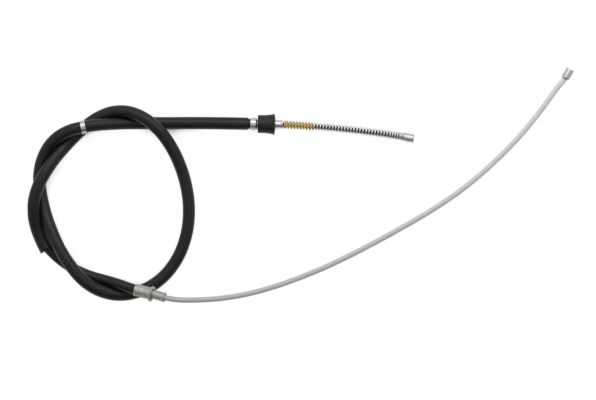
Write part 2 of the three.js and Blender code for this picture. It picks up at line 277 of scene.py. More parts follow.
def axis_frame(distance):
    """Points of the axis, and the sideways and upwards directions across the cable there."""
    distance = np.atleast_1d(np.asarray(distance, float))
    ahead = axis(np.minimum(distance + HEADING_REACH, CABLE_LENGTH))
    behind = axis(np.maximum(distance - HEADING_REACH, 0))
    heading = ahead - behind
    heading /= np.linalg.norm(heading, axis=1)[:, None]
    sideways = np.stack([-heading[:, 1], heading[:, 0], np.zeros(len(heading))], axis=1)
    sideways /= np.linalg.norm(sideways, axis=1)[:, None]
    return axis(distance), sideways, np.cross(heading, sideways)


# %% [markdown]
# ## Sweeping a turned profile along the axis
#
# A lathe turns a profile round a straight line. Here the line is bent, and each corner of the
# profile becomes a ring of vertices across the cable. The profile is a closed loop of distance,
# radius and corner radius, so one loop makes outside, inside and both ends, with soft edges. The
# UV map holds metres along the cable and turns round it, for patterns that follow the piece.

# %% Swept profiles
CORNER_STEPS = 4
MOST_OF_SIDE = 0.48


def soften(profile):
    """Rounds each corner of a closed profile of (distance, radius, corner radius)."""
    out = []
    count = len(profile)
    for i, (along, radius, corner) in enumerate(profile):
        here = np.array([along, radius], float)
        if corner <= 0:
            out.append(here)
            continue
        ends = []
        for other in (profile[i - 1], profile[(i + 1) % count]):
            to = np.array(other[:2], float) - here
            reach = np.linalg.norm(to)
            ends.append(here + to / reach * min(corner, MOST_OF_SIDE * reach))
        for t in np.linspace(0, 1, CORNER_STEPS + 1):
            out.append(ends[0] * (1 - t) ** 2 + 2 * here * t * (1 - t) + ends[1] * t**2)
    return np.array(out)


def divide_long(profile, step):
    """Adds rings where the profile runs further than step along the cable."""
    out = []
    for here, there in zip(profile, np.roll(profile, -1, axis=0)):
        count = max(1, math.ceil(abs(there[0] - here[0]) / step))
        out += [here + (there - here) * k / count for k in range(count)]
    return np.array(out)


def swept(name, profile, sides=48, step=0.004, shape=None, lean=None):
    """A closed mesh from a closed profile. shape(distance, angle, radius) scales the radius, and
    lean(distance) moves the axis sideways."""
    rings = divide_long(soften(profile), step)
    centre, sideways, upwards = axis_frame(rings[:, 0])
    if lean:
        centre = centre + lean(rings[:, 0])[:, None] * sideways
    angle = 2 * math.pi * np.arange(sides) / sides
    radius = np.repeat(rings[:, 1:2], sides, axis=1)
    if shape:
        radius = radius * shape(rings[:, 0:1], angle[None, :], rings[:, 1:2])
    cosine, sine = np.cos(angle)[None, :, None], np.sin(angle)[None, :, None]
    across = cosine * sideways[:, None] + sine * upwards[:, None]
    vertices = centre[:, None] + radius[:, :, None] * across
    # What is soft lies flat on the floor and doesn't sink in it, a wall keeps its thickness, and
    # the smooth bend stays in the box of the solid model, whose bends have corners.
    wall = rings[:, 1].max() - rings[:, 1:2]
    vertices[:, :, 2] = np.maximum(vertices[:, :, 2], wall)
    vertices[:, :, :2] = np.clip(vertices[:, :, :2], np.array(cad_low)[:2], np.array(cad_high)[:2])
    count = len(rings)
    i, j = np.meshgrid(np.arange(count), np.arange(sides), indexing="ij")
    i2, j2 = (i + 1) % count, (j + 1) % sides
    around = [i * sides + j, i * sides + j2, i2 * sides + j2, i2 * sides + j]
    faces = np.stack(around, axis=-1).reshape(-1, 4)
    mesh = bpy.data.meshes.new(name)
    mesh.from_pydata(vertices.reshape(-1, 3).tolist(), [], faces.tolist())
    corners = ((i, j), (i, j + 1), (i2, j + 1), (i2, j))
    uv = np.stack([np.stack([rings[a, 0], b / sides], -1) for a, b in corners], axis=2)
    layer = mesh.uv_layers.new(name="along_and_round")
    layer.data.foreach_set("uv", uv.reshape(-1).astype(np.float32))
    return finish_mesh(name, mesh)


def volume_of(mesh):
    """Signed volume of a closed mesh: negative where its faces point inwards."""
    mesh.calc_loop_triangles()
    corners = np.zeros(len(mesh.loop_triangles) * 3, np.int32)
    mesh.loop_triangles.foreach_get("vertices", corners)
    points = np.zeros(len(mesh.vertices) * 3, np.float32)
    mesh.vertices.foreach_get("co", points)
    a, b, c = points.reshape(-1, 3)[corners.reshape(-1, 3)].transpose(1, 0, 2).astype(float)
    return float(np.einsum("ij,ij->i", a, np.cross(b, c)).sum() / 6)


def finish_mesh(name, mesh, sharp=40):
    mesh.validate()
    if volume_of(mesh) < 0:
        mesh.flip_normals()
    mesh.shade_smooth()
    mesh.set_sharp_from_angle(angle=math.radians(sharp))
    piece = bpy.data.objects.new(name, mesh)
    bpy.context.scene.collection.objects.link(piece)
    print(name, len(mesh.polygons), "faces,", round(volume_of(mesh) * 1e9), "mm3")
    return piece


def hand_in(piece, node, material):
    """The piece gets its finish, rides on the cable and stands for the solid model's piece."""
    piece.data.materials.clear()
    piece.data.materials.append(material)
    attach(piece, "root")
    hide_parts(node)


# %% [markdown]
# ## Finishes
#
# Every finish is a Principled shader with a little procedural unevenness, because nothing real
# has one flat colour or one gloss. Patterns read the piece's own coordinates, in metres, so they
# keep their size. Steady values such as metallic or coat are set on the shader's own sockets.

# %% Helpers for finishes
def new_finish(name, colour, roughness, metallic=0.0, **sockets):
    material = bpy.data.materials.new(name)
    material.use_nodes = True
    shader = material.node_tree.nodes["Principled BSDF"]
    shader.inputs["Base Color"].default_value = (*colour, 1)
    shader.inputs["Roughness"].default_value = roughness
    shader.inputs["Metallic"].default_value = metallic
    for socket, value in sockets.items():
        shader.inputs[socket.replace("_", " ")].default_value = value
    return material, material.node_tree, shader


def add_node(tree, kind, links=None, **settings):
    """A node with its settings, and its inputs linked or set by name or number."""
    node = tree.nodes.new(kind)
    for key, value in settings.items():
        setattr(node, key, value)
    for socket, value in (links or {}).items():
        if isinstance(value, bpy.types.NodeSocket):
            tree.links.new(value, node.inputs[socket])
        else:
            node.inputs[socket].default_value = value
    return node


def object_place(tree):
    return add_node(tree, "ShaderNodeTexCoord").outputs["Object"]


def along_and_round(tree, along_scale, round_scale):
    """The piece's UV map: metres along the cable and turns round it, each scaled."""
    uv = add_node(tree, "ShaderNodeUVMap", uv_map="along_and_round").outputs["UV"]
    links = {"Vector": uv, "Scale": (along_scale, round_scale, 1)}
    return add_node(tree, "ShaderNodeMapping", links).outputs["Vector"]


def noise(tree, place, scale, detail=4.0, roughness=0.55):
    links = {"Vector": place, "Scale": scale, "Detail": detail, "Roughness": roughness}
    return add_node(tree, "ShaderNodeTexNoise", links).outputs["Fac"]


def spread(tree, value, low, high, from_low=0.3, from_high=0.7):
    """The value, spread from one range over another and kept inside it."""
    links = {"Value": value, "From Min": from_low, "From Max": from_high}
    links |= {"To Min": low, "To Max": high}
    return add_node(tree, "ShaderNodeMapRange", links).outputs["Result"]


def mixed(tree, share, one, other):
    node = add_node(tree, "ShaderNodeMix", data_type="RGBA")
    for socket, value in ((0, share), (6, one), (7, other)):
        if isinstance(value, bpy.types.NodeSocket):
            tree.links.new(value, node.inputs[socket])
        else:
            node.inputs[socket].default_value = (*value, 1) if socket else value
    return node.outputs[2]


def bump(tree, shader, height, strength, depth):
    links = {"Height": height, "Strength": strength, "Distance": depth}
    bumped = add_node(tree, "ShaderNodeBump", links)
    tree.links.new(bumped.outputs["Normal"], shader.inputs["Normal"])


def sum_of(tree, one, other, operation="ADD"):
    links = {0: one, 1: other}
    return add_node(tree, "ShaderNodeMath", links, operation=operation).outputs["Value"]


# %% [markdown]
# ## Black rubber and plastic
#
# The hose and the sheath are extruded, so their marks run lengthways: drawn-out streaks from the
# die, and scuffs where they rubbed on other things. The noise is stretched along the UV map for
# the streaks and left round for the dust. The boot is moulded, with a fine even grain.

# %% Black finishes
def extruded_black(name, colour, roughness, streaks):
    material, tree, shader = new_finish(name, colour, roughness, Specular_IOR_Level=0.28)
    drawn = noise(tree, along_and_round(tree, 12, streaks), 1.0, 3)
    dust = noise(tree, object_place(tree), 160, 5, 0.6)
    grain = noise(tree, object_place(tree), 2600, 2)
    pale = tuple(2.4 * c + 0.004 for c in colour)
    dusty = mixed(tree, spread(tree, dust, 0, 0.5, 0.5, 0.8), colour, pale)
    tree.links.new(dusty, shader.inputs["Base Color"])
    dull = spread(tree, dust, roughness - 0.04, roughness + 0.06)
    uneven = sum_of(tree, spread(tree, drawn, -0.05, 0.05), dull)
    tree.links.new(uneven, shader.inputs["Roughness"])
    bump(tree, shader, sum_of(tree, drawn, grain), 0.25, 0.00012)
    return material


hose_finish = extruded_black("hose_rubber", (0.0095, 0.0088, 0.0074), 0.42, 26)
sheath_finish = extruded_black("sheath_plastic", (0.0075, 0.007, 0.006), 0.38, 34)


def moulded_black():
    black, pale = (0.0095, 0.0088, 0.0078), (0.02, 0.019, 0.017)
    material, tree, shader = new_finish("boot_rubber", black, 0.5, Specular_IOR_Level=0.3)
    place = object_place(tree)
    grain = noise(tree, place, 1900, 3)
    bloom = noise(tree, place, 210, 4, 0.6)
    bloomed = mixed(tree, spread(tree, bloom, 0, 0.45, 0.45, 0.75), black, pale)
    tree.links.new(bloomed, shader.inputs["Base Color"])
    tree.links.new(spread(tree, bloom, 0.44, 0.58), shader.inputs["Roughness"])
    bump(tree, shader, grain, 0.3, 0.00015)
    return material


boot_finish = moulded_black()

# %% [markdown]
# ## Zinc plating
#
# Plated steel is a metal with a soft, slightly cloudy gloss. Turned pieces carry fine rings round
# them from the lathe, made by noise squeezed along the axis. The rear ferrule's plating is duller
# and beige, with darker stains in it.

# %% Metal finishes
def plated(name, colour, stain, roughness, ring_depth, stain_share=0.35):
    material, tree, shader = new_finish(name, colour, roughness, metallic=1.0)
    place = object_place(tree)
    cloud = noise(tree, place, 420, 5, 0.65)
    spots = noise(tree, place, 1500, 3, 0.6)
    rings = noise(tree, along_and_round(tree, 3600, 1.5), 1.0, 2)
    stained = mixed(tree, spread(tree, cloud, 0, stain_share, 0.42, 0.72), colour, stain)
    tree.links.new(stained, shader.inputs["Base Color"])
    dull = spread(tree, cloud, roughness - 0.06, roughness + 0.12)
    uneven = sum_of(tree, dull, spread(tree, spots, -0.04, 0.05))
    tree.links.new(uneven, shader.inputs["Roughness"])
    bump(tree, shader, sum_of(tree, rings, sum_of(tree, spots, 0.6, "MULTIPLY")), 0.35, ring_depth)
    return material


nipple_finish = plated("nipple_zinc", (0.56, 0.55, 0.525), (0.4, 0.39, 0.365), 0.42, 0.00004)
ferrule_finish = plated("ferrule_zinc", (0.6, 0.595, 0.58), (0.42, 0.41, 0.395), 0.36, 0.00004)
ring_finish = plated("ring_steel", (0.56, 0.55, 0.52), (0.36, 0.35, 0.33), 0.34, 0.00003)
dull_finish = plated(
    "rear_ferrule_zinc", (0.48, 0.468, 0.43), (0.3, 0.29, 0.255), 0.55, 0.00006, stain_share=0.6
)

# %% [markdown]
# ## Spring wire, with a painted mark
#
# About ten turns next to the ferrule are painted yellow, a mark that tells one spring rate from
# another. The wire is a mix of two looks by the place along the cable, with a ragged edge from
# noise, and the paint is thin and greenish on its last turns. Some of it is on the dark coat too.

# %% Spring, core and paint
paint_from = float(axis(nose - 0.0016)[0, 0])
paint_to = float(axis(nose - 0.0293)[0, 0])
PAINT = (0.53, 0.35, 0.1)
PAINT_PALE = (0.72, 0.59, 0.32)
PAINT_GREENISH = (0.42, 0.41, 0.2)
PAINT_SHADE = (0.3, 0.185, 0.05)


def painted_share(tree, place, ragged):
    """1 inside the painted stretch, 0 outside, with an uneven edge."""
    x = add_node(tree, "ShaderNodeSeparateXYZ", {"Vector": place}).outputs["X"]
    uneven = sum_of(tree, x, spread(tree, noise(tree, place, 700, 3), -ragged, ragged))
    start = spread(tree, uneven, 0, 1, paint_from - 0.0004, paint_from + 0.0004)
    end = spread(tree, uneven, 1, 0, paint_to - 0.0008, paint_to + 0.0008)
    return sum_of(tree, start, end, "MULTIPLY")


def spring_wire():
    steel = (0.7, 0.695, 0.67)
    material, tree, shader = new_finish("spring_steel", steel, 0.25, metallic=1.0)
    place = object_place(tree)
    share = painted_share(tree, place, 0.0006)
    fleck = noise(tree, place, 900, 4, 0.6)
    wire = mixed(tree, spread(tree, fleck, 0, 0.4, 0.45, 0.75), steel, (0.5, 0.49, 0.46))
    batch = noise(tree, place, 90, 1)
    paint = mixed(tree, spread(tree, fleck, 0, 1, 0.45, 0.7), PAINT, PAINT_PALE)
    x = add_node(tree, "ShaderNodeSeparateXYZ", {"Vector": place}).outputs["X"]
    last_turns = spread(tree, x, 0, 0.75, paint_to - 0.006, paint_to - 0.002)
    thin = sum_of(tree, last_turns, spread(tree, batch, 0, 0.5, 0.48, 0.62), "MAXIMUM")
    paint = mixed(tree, thin, paint, PAINT_GREENISH)
    tree.links.new(mixed(tree, share, wire, paint), shader.inputs["Base Color"])
    tree.links.new(spread(tree, share, 1.0, 0.0, 0, 1), shader.inputs["Metallic"])
    uneven = sum_of(tree, spread(tree, share, 0.22, 0.36, 0, 1), spread(tree, fleck, 0, 0.1))
    tree.links.new(uneven, shader.inputs["Roughness"])
    bump(tree, shader, fleck, 0.2, 0.00006)
    return material


def dark_core():
    black = (0.008, 0.0078, 0.0072)
    material, tree, shader = new_finish("dark_coat", black, 0.45)
    place = object_place(tree)
    share = painted_share(tree, place, 0.0008)
    fleck = noise(tree, place, 1300, 3)
    paint = mixed(tree, spread(tree, fleck, 0, 1, 0.35, 0.6), PAINT_SHADE, PAINT)
    tree.links.new(mixed(tree, share, black, paint), shader.inputs["Base Color"])
    bump(tree, shader, fleck, 0.25, 0.00008)
    return material


spring_finish = spring_wire()
core_finish = dark_core()

# %% [markdown]
# ## Grey coat, rope and the hidden pieces
#
# The grey coat is smooth extruded plastic with a soft gloss and faint handling marks, and its
# colour is painted lighter towards the lever end than near the ferrule: painted light, for the
# stronger light that falls on the far end. The rope, the wound armour and the liner hide inside,
# but they still get a finish of their own.

# %% Grey coat and inner finishes
def grey_plastic():
    grey, painted_light_grey, soiled = (0.42, 0.423, 0.413), (0.66, 0.655, 0.64), (0.3, 0.3, 0.285)
    material, tree, shader = new_finish("grey_coat", grey, 0.38, Specular_IOR_Level=0.4)
    uv = add_node(tree, "ShaderNodeUVMap", uv_map="along_and_round").outputs["UV"]
    along = add_node(tree, "ShaderNodeSeparateXYZ", {"Vector": uv}).outputs["X"]
    # Painted light: the coat's colour runs from grey near the ferrule to a lighter grey at the
    # lever end, standing for stronger light there.
    coat = mixed(tree, spread(tree, along, 0, 1, casing_to, CABLE_LENGTH), grey, painted_light_grey)
    marks = noise(tree, along_and_round(tree, 30, 8), 1.0, 4)
    soil = noise(tree, object_place(tree), 240, 5, 0.65)
    handled = mixed(tree, spread(tree, soil, 0, 0.3, 0.5, 0.8), coat, soiled)
    tree.links.new(handled, shader.inputs["Base Color"])
    tree.links.new(spread(tree, marks, 0.3, 0.42), shader.inputs["Roughness"])
    bump(tree, shader, marks, 0.15, 0.0001)
    return material


def galvanised(name, colour, roughness):
    material, tree, shader = new_finish(name, colour, roughness, metallic=1.0)
    fleck = noise(tree, object_place(tree), 1600, 4, 0.6)
    flecked = mixed(tree, spread(tree, fleck, 0, 0.6), colour, tuple(c * 0.6 for c in colour))
    tree.links.new(flecked, shader.inputs["Base Color"])
    bump(tree, shader, fleck, 0.25, 0.00005)
    return material


def liner_plastic():
    white = (0.8, 0.78, 0.72)
    material, tree, shader = new_finish("liner_plastic", white, 0.4)
    streak = noise(tree, along_and_round(tree, 20, 12), 1.0, 3)
    streaked = mixed(tree, spread(tree, streak, 0, 0.4), white, (0.68, 0.66, 0.6))
    tree.links.new(streaked, shader.inputs["Base Color"])
    bump(tree, shader, streak, 0.1, 0.0001)
    return material


grey_finish = grey_plastic()
rope_finish = galvanised("rope_steel", (0.5, 0.5, 0.49), 0.35)
armour_finish = galvanised("armour_steel", (0.4, 0.4, 0.4), 0.45)
liner_finish = liner_plastic()
print("finishes made:", len(bpy.data.materials))

# %% [markdown]
# ## Winding wire along a path with Geometry Nodes
#
# A spring, a laid rope and the wound armour are the same thing to a computer: a point that
# circles the axis while it travels along it. The node tree takes the axis as its geometry, walks
# along it with Sample Curve, and sets each point of a new curve out from the axis by an angle
# that grows with the turn. Curve to Mesh then gives the wire its section. The pitch may change:
# closed turns at both seats, some tighter turns after the first seat, and open ones between.

# %% The winding tree
WINDING_INPUTS = {
    "From": 0.0,
    "Seat Turns": 0.0,
    "Seat Pitch": 0.001,
    "Tight Turns": 0.0,
    "Tight Pitch": 0.001,
    "Open Turns": 10.0,
    "Open Pitch": 0.003,
    "Hand": 1.0,
    "Winding Radius": 0.003,
    "Wire Width": 0.0015,
    "Wire Thickness": 0.0015,
}
WINDING_COUNTS = {"Strands": 1, "Points": 400, "Wire Sides": 10}


def winding_tree():
    tree = bpy.data.node_groups.new("wind_wire", "GeometryNodeTree")
    face = tree.interface
    face.new_socket("Axis", in_out="INPUT", socket_type="NodeSocketGeometry")
    for name, value in WINDING_INPUTS.items():
        face.new_socket(name, in_out="INPUT", socket_type="NodeSocketFloat").default_value = value
    for name, value in WINDING_COUNTS.items():
        face.new_socket(name, in_out="INPUT", socket_type="NodeSocketInt").default_value = value
    face.new_socket("Finish", in_out="INPUT", socket_type="NodeSocketMaterial")
    face.new_socket("Wire", in_out="OUTPUT", socket_type="NodeSocketGeometry")
    given = add_node(tree, "NodeGroupInput").outputs

    def maths(operation, one, other=0.0):
        return add_node(tree, "ShaderNodeMath", {0: one, 1: other}, operation=operation).outputs[0]

    def limited(value, most):
        return maths("MINIMUM", maths("MAXIMUM", value, 0.0), most)

    def along(direction, length):
        links = {"Vector": direction, "Scale": length}
        return add_node(tree, "ShaderNodeVectorMath", links, operation="SCALE").outputs[0]

    def joined(one, other, operation="ADD"):
        links = {0: one, 1: other}
        return add_node(tree, "ShaderNodeVectorMath", links, operation=operation).outputs[0]

    # One straight line of points for each strand
    bare = add_node(tree, "GeometryNodeCurvePrimitiveLine")
    links = {"Curve": bare.outputs[0], "Count": given["Points"]}
    many = add_node(tree, "GeometryNodeResampleCurve", links)
    links = {"Geometry": many.outputs[0], "Amount": given["Strands"]}
    strands = add_node(tree, "GeometryNodeDuplicateElements", links, domain="SPLINE")

    # Turns so far, the distance that they have travelled, and the angle
    place = add_node(tree, "GeometryNodeSplineParameter").outputs["Factor"]
    seats = maths("MULTIPLY", given["Seat Turns"], 2.0)
    total = maths("ADD", seats, maths("ADD", given["Tight Turns"], given["Open Turns"]))
    turn = maths("MULTIPLY", place, total)
    after_seat = maths("SUBTRACT", turn, given["Seat Turns"])
    after_tight = maths("SUBTRACT", after_seat, given["Tight Turns"])
    after_open = maths("SUBTRACT", after_tight, given["Open Turns"])
    travelled = given["From"]
    for turns, pitch in (
        (limited(turn, given["Seat Turns"]), "Seat Pitch"),
        (limited(after_seat, given["Tight Turns"]), "Tight Pitch"),
        (limited(after_tight, given["Open Turns"]), "Open Pitch"),
        (limited(after_open, given["Seat Turns"]), "Seat Pitch"),
    ):
        travelled = maths("ADD", travelled, maths("MULTIPLY", turns, given[pitch]))
    phase = maths("DIVIDE", strands.outputs["Duplicate Index"], given["Strands"])
    turned_by = maths("ADD", maths("MULTIPLY", turn, given["Hand"]), phase)
    angle = maths("MULTIPLY", turned_by, 2 * math.pi)

    # The axis at that distance, and the way outwards from it
    curve = add_node(tree, "GeometryNodeMeshToCurve", {"Mesh": given["Axis"]})
    upright = add_node(tree, "GeometryNodeSetCurveNormal", {"Curve": curve.outputs[0]}, mode="Z_UP")
    links = {"Curves": upright.outputs[0], "Length": travelled}
    sample = add_node(tree, "GeometryNodeSampleCurve", links, mode="LENGTH").outputs
    across = joined(sample["Tangent"], sample["Normal"], "CROSS_PRODUCT")
    first = along(sample["Normal"], maths("COSINE", angle))
    outwards = joined(first, along(across, maths("SINE", angle)))
    spot = joined(sample["Position"], along(outwards, given["Winding Radius"]))
    links = {"Geometry": strands.outputs["Geometry"], "Position": spot}
    wound = add_node(tree, "GeometryNodeSetPosition", links)
    links = {"Curve": wound.outputs[0], "Normal": outwards}
    turned = add_node(tree, "GeometryNodeSetCurveNormal", links, mode="FREE")

    # The wire's section, then the finish
    links = {"Resolution": given["Wire Sides"], "Radius": 0.5}
    circle = add_node(tree, "GeometryNodeCurvePrimitiveCircle", links)
    links = {"X": given["Wire Thickness"], "Y": given["Wire Width"], "Z": 1.0}
    size = add_node(tree, "ShaderNodeCombineXYZ", links)
    links = {"Geometry": circle.outputs[0], "Scale": size.outputs[0]}
    section = add_node(tree, "GeometryNodeTransform", links)
    links = {"Curve": turned.outputs[0], "Profile Curve": section.outputs[0], "Fill Caps": True}
    wire = add_node(tree, "GeometryNodeCurveToMesh", links)
    real = add_node(tree, "GeometryNodeRealizeInstances", {"Geometry": wire.outputs[0]})
    links = {"Geometry": real.outputs[0], "Material": given["Finish"]}
    finished = add_node(tree, "GeometryNodeSetMaterial", links)
    add_node(tree, "NodeGroupOutput", {"Wire": finished.outputs[0]})
    return tree


WIND = winding_tree()


AXIS_STEP = 0.002
WIRE_SHARP = 60


def wind(name, start, end, finish, **inputs):
    """Winds wire round the axis from start to end, and returns it as a plain mesh object."""
    distances = np.linspace(start, end, math.ceil((end - start) / AXIS_STEP))
    points = axis(distances)
    mesh = bpy.data.meshes.new(name + "_axis")
    mesh.from_pydata(points.tolist(), [(k, k + 1) for k in range(len(points) - 1)], [])
    path = bpy.data.objects.new(name + "_axis", mesh)
    bpy.context.scene.collection.objects.link(path)
    modifier = path.modifiers.new("wind", "NODES")
    modifier.node_group = WIND
    sockets = [item for item in WIND.interface.items_tree if item.in_out == "INPUT"]
    ids = {socket.name: socket.identifier for socket in sockets}
    for key, value in inputs.items():
        modifier[ids[key.replace("_", " ")]] = value
    modifier[ids["Finish"]] = finish
    path.update_tag()
    graph = bpy.context.evaluated_depsgraph_get()
    made = bpy.data.meshes.new_from_object(path.evaluated_get(graph))
    bpy.data.objects.remove(path)
    made.name = name
    return finish_mesh(name, made, WIRE_SHARP)


# %% [markdown]
# ## The return spring
#
# The spring is what shows first on this cable: forty turns of bright wire, open enough to see the
# dark coat of the rope between them. It is wound left-handed, with closed turns where it seats on
# the ferrule's nose and on the nipple, and a few tighter turns next to the nipple.

# %% Return spring
SPRING = 0.008
SPRING_WIRE = 0.0015
SEAT_TURNS, SEAT_PITCH = 1.25, 0.00175
TIGHT_TURNS, TIGHT_PITCH = 4.0, 0.00235
OPEN_PITCH = 0.0029
LEFT_HAND = -1.0
END_GAP = 0.0003

spring_start = spring_from + END_GAP
spring_end = nose - END_GAP
closed_travel = SPRING_WIRE + 2 * SEAT_TURNS * SEAT_PITCH + TIGHT_TURNS * TIGHT_PITCH
open_turns = (spring_end - spring_start - closed_travel) / OPEN_PITCH
spring_turns = 2 * SEAT_TURNS + TIGHT_TURNS + open_turns
spring = wind(
    "spring_coil", spring_start, spring_end, spring_finish,
    From=SPRING_WIRE / 2, Seat_Turns=SEAT_TURNS, Seat_Pitch=SEAT_PITCH, Tight_Turns=TIGHT_TURNS,
    Tight_Pitch=TIGHT_PITCH, Open_Turns=open_turns, Open_Pitch=OPEN_PITCH, Hand=LEFT_HAND,
    Winding_Radius=(SPRING - SPRING_WIRE) / 2, Wire_Width=SPRING_WIRE, Wire_Thickness=SPRING_WIRE,
    Strands=1, Points=round(spring_turns * 36), Wire_Sides=16,
)
hand_in(spring, "return_spring", spring_finish)
print("spring", round(spring_turns, 1), "turns")

# %% [markdown]
# ## Wire rope and armour
#
# The rope is laid from six strands round a core, and its cut ends show in the nipples. The armour
# is a flat steel strip, wound so closely that it bends but can't be squeezed shorter. Both come
# from the same winding tree with other numbers.

# %% Wire rope and armour
ROPE_INSET = 0.0003
STRAND = ROPE / 3
LAY_LENGTH = 0.022
AXIS_HOLE = 0.00001
rope_from, rope_to = ROPE_INSET, CABLE_LENGTH - ROPE_INSET
lays = (rope_to - rope_from) / LAY_LENGTH
rope = wind(
    "rope_strands", rope_from, rope_to, rope_finish,
    Open_Turns=lays, Open_Pitch=LAY_LENGTH, Winding_Radius=STRAND, Wire_Width=STRAND,
    Wire_Thickness=STRAND, Strands=6, Points=round(lays * 9), Wire_Sides=6,
)
hand_in(rope, "wire_rope", rope_finish)
core_profile = [
    (rope_from, AXIS_HOLE, 0), (rope_from, STRAND / 2, 0),
    (rope_to, STRAND / 2, 0), (rope_to, AXIS_HOLE, 0),
]
core = swept("rope_core", core_profile, sides=8)
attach(core, "root")
core.data.materials.append(rope_finish)

STRIP = 0.0019
STRIP_PITCH = 0.0021
STRIP_SHARE = 0.8
strip_thickness = (ARMOUR - ARMOUR_BORE) / 2 * STRIP_SHARE
strip_turns = (casing_to - casing_from - STRIP) / STRIP_PITCH
armour = wind(
    "armour_strip", casing_from, casing_to, armour_finish,
    From=STRIP / 2, Open_Turns=strip_turns, Open_Pitch=STRIP_PITCH,
    Winding_Radius=(ARMOUR + ARMOUR_BORE) / 4, Wire_Width=STRIP, Wire_Thickness=strip_thickness,
    Strands=1, Points=round(strip_turns * 14), Wire_Sides=6,
)
hand_in(armour, "casing_armour", armour_finish)

# %% [markdown]
# ## Casing: liner, sheath and hose
#
# The sheath covers the armour over the whole casing. Over it lies a looser hose that guards the
# cable against stones, and it ends in a plain cut at the left, where it stands a little off the
# sheath, because it would rather be straight than bent. The hose is never quite round or quite
# even, which shows in its highlights, so its radius wanders by a few hundredths of a millimetre.
# Where two turns lie side by side, it is pressed fuller towards the other turn.

# %% Casing
HOSE_FULLNESS = 0.025
OVAL, OVAL_WAVE, OVAL_TWIST = 0.004, 61, 17
RIPPLE, RIPPLE_WAVE = 0.003, 143
STRAIGHT_FULLNESS, STRAIGHT_TO, STRAIGHT_FADE = 0.014, 0.29, 0.05
MOUTH_BEFORE, MOUTH_FADE = 0.008, 0.03
CREST_FULLNESS, CREST_AT, CREST_REACH = 0.02, 0.72, 0.045
BAND_REACH = 0.008
CUT_FLARE = 0.0031
CUT_DRIFT = 0.0003
CUT_SHRINK = 0.0015
CUT_REACH = 0.03
DRIFT_REACH = 0.048
# Where two turns press on each other: place, side and how much fuller
NESTS = [
    (0.350, 1, 0.0003), (0.848, -1, 0.0002), (0.432, -1, 0.0007), (0.930, 1, 0.0007),
    (0.521, 1, 0.0012),
]
NEST_REACH = 0.012


def tube_profile(start, end, outer, bore, corner):
    outside = [(start, outer, corner), (end, outer, corner)]
    return outside + [(end, bore, corner / 2), (start, bore, corner / 2)]


def hump(distance, place, reach):
    """1 at the place, and less and less on both sides of it."""
    return np.exp(-(((distance - place) / reach) ** 2))


def rise(distance, start, reach):
    """0 up to the start, then evenly up to 1."""
    return np.clip((distance - start) / reach, 0, 1)


def hose_shape(distance, angle, radius):
    """The hose is fuller where it isn't bent, wanders off round, and flares at its cut end."""
    oval = OVAL * np.sin(distance * OVAL_WAVE + 1) * np.cos(angle * 2 + distance * OVAL_TWIST)
    ripple = RIPPLE * np.sin(distance * RIPPLE_WAVE + angle)
    straight = rise(-distance, -STRAIGHT_TO, STRAIGHT_FADE)
    straight = straight * rise(distance, hose_from - MOUTH_BEFORE, MOUTH_FADE)
    crest = CREST_FULLNESS * hump(distance, CREST_AT, CREST_REACH)
    band = hump(distance, ring_from + RING_LENGTH / 2, BAND_REACH)
    flare = CUT_FLARE / radius * rise(distance, hose_to - CUT_REACH, CUT_REACH) ** 2
    outer_side = 0.55 - 0.45 * np.cos(angle)
    nested = 0
    for place, side, depth in NESTS:
        near = hump(distance, place, NEST_REACH)
        nested = nested + depth / radius * near * np.clip(side * np.cos(angle), 0, 1) ** 2
    uneven = oval + ripple + STRAIGHT_FULLNESS * straight + crest
    return 1 + HOSE_FULLNESS * (1 - band) + uneven + flare * outer_side + nested


def hose_lean(distance):
    """At its cut end the hose drifts to the outside of the turn."""
    return -CUT_DRIFT * rise(distance, hose_to - DRIFT_REACH, DRIFT_REACH) ** 2


hose_cut = hose_to - CUT_SHRINK
hose_profile = tube_profile(hose_from, hose_cut, HOSE / 2, SHEATH / 2 + FIT, 0.0003)
hose = swept("hose_skin", hose_profile, sides=40, step=0.003, shape=hose_shape, lean=hose_lean)
hand_in(hose, "protective_hose", hose_finish)

sheath_profile = tube_profile(casing_from, casing_to, SHEATH / 2, SHEATH_BORE / 2, 0.0002)
sheath = swept("sheath_skin", sheath_profile, sides=36, step=0.0035)
hand_in(sheath, "casing_sheath", sheath_finish)

liner_profile = tube_profile(casing_from, casing_to, LINER / 2, LINER_BORE / 2, 0.0001)
liner = swept("liner_skin", liner_profile, sides=16, step=0.006)
hand_in(liner, "casing_liner", liner_finish)

# %% [markdown]
# ## Coats of the bare rope
#
# Where the rope leaves the casing it wears a coat: a thin dark one under the spring and a grey
# one on the long run to the lever.

# %% Coats
COAT_BORE = ROPE / 2 + FIT
dark_from, dark_to = spring_from + END_GAP, casing_from - 2 * END_GAP
dark_profile = tube_profile(dark_from, dark_to, DARK / 2, COAT_BORE, 0.0001)
dark_coat = swept("dark_coat_skin", dark_profile, sides=24, step=0.003)
hand_in(dark_coat, "front_wire_coat", core_finish)

grey_from, grey_to = casing_to + 2 * END_GAP, rear_nipple_from - 2 * END_GAP
grey_profile = tube_profile(grey_from, grey_to, GREY / 2, COAT_BORE, 0.0002)
grey_coat = swept("grey_coat_skin", grey_profile, sides=32, step=0.003)
hand_in(grey_coat, "rear_wire_coat", grey_finish)

# %% [markdown]
# ## Nipples
#
# A barrel nipple is a short steel slug, pressed on the rope's end until it grips. The press leaves
# it not quite round, with two faint flats.

# %% Nipples
FLAT_DEPTH = 0.014
FLAT_TURN = 0.6
SOFT_EDGE = 0.0005


def nipple_profile(start, length, soft_start):
    radius, end = NIPPLE / 2, start + length
    outside = [(start, radius, soft_start), (end, radius, SOFT_EDGE)]
    return [(start, COAT_BORE, 0.0001), *outside, (end, COAT_BORE, 0.0001)]


def pressed(distance, angle, radius):
    """Two shallow flats on the outside."""
    flats = np.clip(np.cos(2 * angle + FLAT_TURN), 0, 1) ** 2
    return 1 - FLAT_DEPTH * flats * (radius > NIPPLE / 4)


